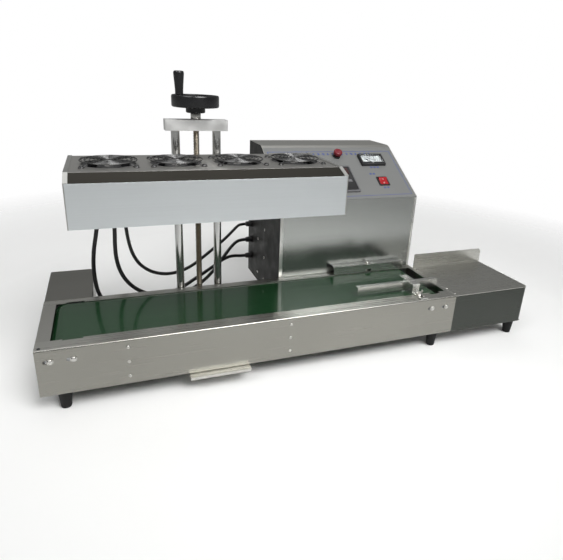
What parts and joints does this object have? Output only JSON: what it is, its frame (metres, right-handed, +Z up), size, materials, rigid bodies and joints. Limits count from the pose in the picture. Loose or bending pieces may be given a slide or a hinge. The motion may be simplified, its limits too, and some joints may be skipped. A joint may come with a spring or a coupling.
{
  "type": "tabletop induction sealing machine",
  "caption": "Bench-top conveyor sealer: flat belt and end table, lifting induction head with fans on a two-rod column with handwheel, control box and hoses.",
  "frame": {"origin": "on the surface the machine stands on, below the middle of its bounding box", "axes": "+X along the conveyor from the motor end to the end table, +Y from the front to the control box, +Z up"},
  "size_m": [1.005, 0.4556, 0.5455],
  "materials": {
    "stainless": "brushed",
    "zinc_steel": "satin",
    "aluminium": "satin",
    "belt_green": "glossy",
    "bright_steel": "polished",
    "bronze": "machined",
    "head_steel": "satin",
    "insulating_board": "matt",
    "copper": "varnished",
    "ferrite": "matt",
    "black_plastic": "satin",
    "guard_wire": "plated",
    "black_rubber": "matt",
    "motor_paint": "satin",
    "red_plastic": "glossy",
    "clear_window": "clear",
    "needle_black": "matt"
  },
  "bodies": {
    "base": {"base_plate": "zinc_steel", "bed_crossbars": "aluminium", "box_floor": "stainless", "box_front_panel": "stainless", "box_rear_panel": "stainless", "box_side_panels": "stainless", "box_top_panel": "stainless", "cable_glands": "bright_steel", "coil_hose_left": "black_rubber", "coil_hose_right": "black_rubber", "controller_unit": "black_plastic", "conveyor_belt": "belt_green", "conveyor_end_plates": "stainless", "conveyor_screws": "bright_steel", "cross_rails": "stainless", "drive_motor": "motor_paint", "front_rail": "stainless", "guide_rods": "bright_steel", "inverter_module": "aluminium", "meter_housing": "black_plastic", "meter_window": "clear_window", "motor_cover": "stainless", "motor_hose": "black_rubber", "panel_bezels": "black_plastic", "power_inlet": "black_plastic", "rear_rail": "stainless", "roller_brackets": "aluminium", "rubber_feet": "black_rubber", "screw_bearings": "bronze", "slider_bed": "zinc_steel", "table_skirt": "stainless", "table_top": "stainless", "top_block": "aluminium"},
    "head": {"head_front_panel": "head_steel", "head_cover": "head_steel", "head_end_caps": "head_steel", "head_bottom_plate": "insulating_board", "induction_coil": "copper", "ferrite_bars": "ferrite", "carriage_block": "aluminium", "guide_bushes": "bronze", "fan_frames": "black_plastic", "fan_guards": "guard_wire", "hose_fittings": "bright_steel"},
    "screw": {"lead_screw": "bright_steel", "handwheel": "black_plastic"},
    "grip": {"crank_grip": "black_plastic"},
    "fan_1": {"fan_impeller_1": "black_plastic"},
    "fan_2": {"fan_impeller_2": "black_plastic"},
    "fan_3": {"fan_impeller_3": "black_plastic"},
    "fan_4": {"fan_impeller_4": "black_plastic"},
    "drive": {"drive_roller": "bright_steel"},
    "idler": {"idler_roller": "bright_steel"},
    "rocker": {"power_rocker": "red_plastic"},
    "button": {"stop_button": "red_plastic"},
    "needle": {"meter_needle": "needle_black"},
    "near_guide": {"front_guide": "stainless"},
    "far_guide": {"rear_guide": "stainless"},
    "near_clamp": {"front_clamp_knob": "bright_steel"},
    "far_clamp": {"rear_clamp_knob": "bright_steel"}
  },
  "joints": [
    {"name": "screw_spin", "type": "hinge", "parent": "base", "child": "screw", "pos_m": [-0.2055, -0.01475, 0.121], "axis": [0, 0, 1], "range_deg": [-3600, 18000]},
    {"name": "head_lift", "type": "slide", "parent": "base", "child": "head", "axis": [0, 0, 1], "range_m": [-0.15, 0.03], "deforming": ["motor_hose", "coil_hose_left", "coil_hose_right"]},
    {"name": "grip_spin", "type": "hinge", "parent": "screw", "child": "grip", "pos_m": [-0.23696, -0.03009, 0.50405], "axis": [0, 0, 1], "continuous": true},
    {"name": "fan_1_spin", "type": "hinge", "parent": "head", "child": "fan_1", "pos_m": [-0.367, -0.11075, 0.382], "axis": [0, 0, 1], "continuous": true},
    {"name": "fan_2_spin", "type": "hinge", "parent": "head", "child": "fan_2", "pos_m": [-0.2576, -0.11075, 0.382], "axis": [0, 0, 1], "continuous": true},
    {"name": "fan_3_spin", "type": "hinge", "parent": "head", "child": "fan_3", "pos_m": [-0.1482, -0.11075, 0.382], "axis": [0, 0, 1], "continuous": true},
    {"name": "fan_4_spin", "type": "hinge", "parent": "head", "child": "fan_4", "pos_m": [-0.0388, -0.11075, 0.382], "axis": [0, 0, 1], "continuous": true},
    {"name": "drive_roller_spin", "type": "hinge", "parent": "base", "child": "drive", "pos_m": [-0.4635, -0.114, 0.09335], "axis": [0, 1, 0], "continuous": true},
    {"name": "idler_roller_spin", "type": "hinge", "parent": "base", "child": "idler", "pos_m": [0.265, -0.114, 0.09335], "axis": [0, 1, 0], "continuous": true},
    {"name": "power_rocker_tilt", "type": "hinge", "parent": "base", "child": "rocker", "pos_m": [0.239, 0.02414, 0.31791], "axis": [1, 0, 0], "range_deg": [-22, 0]},
    {"name": "stop_button_press", "type": "slide", "parent": "base", "child": "button", "axis": [0, -0.5387, 0.8425], "range_m": [-0.004, 0], "stiffness_N_per_m": 500, "springref_m": 0.002},
    {"name": "meter_needle_swing", "type": "hinge", "parent": "base", "child": "needle", "pos_m": [0.236, 0.07119, 0.35571], "axis": [0, -0.5387, 0.8425], "range_deg": [-90, 0], "stiffness_Nm_per_rad": 0.0001, "springref_deg": 11.46},
    {"name": "front_guide_slide", "type": "slide", "parent": "base", "child": "near_guide", "axis": [0, 1, 0], "range_m": [-0.008, 0.012]},
    {"name": "rear_guide_slide", "type": "slide", "parent": "base", "child": "far_guide", "axis": [0, 1, 0], "range_m": [-0.005, 0]},
    {"name": "front_clamp_turn", "type": "hinge", "parent": "base", "child": "near_clamp", "pos_m": [0.226, -0.19275, 0.121], "axis": [0, 0, 1], "range_deg": [-180, 180]},
    {"name": "rear_clamp_turn", "type": "hinge", "parent": "base", "child": "far_clamp", "pos_m": [0.1855, -0.03375, 0.121], "axis": [0, 0, 1], "range_deg": [-180, 180]}
  ],
  "couplings": [
    {"joint": "screw_spin", "follows": "head_lift", "rad_per_m": -2094.4},
    {"joint": "idler_roller_spin", "follows": "drive_roller_spin", "ratio": 1}
  ]
}
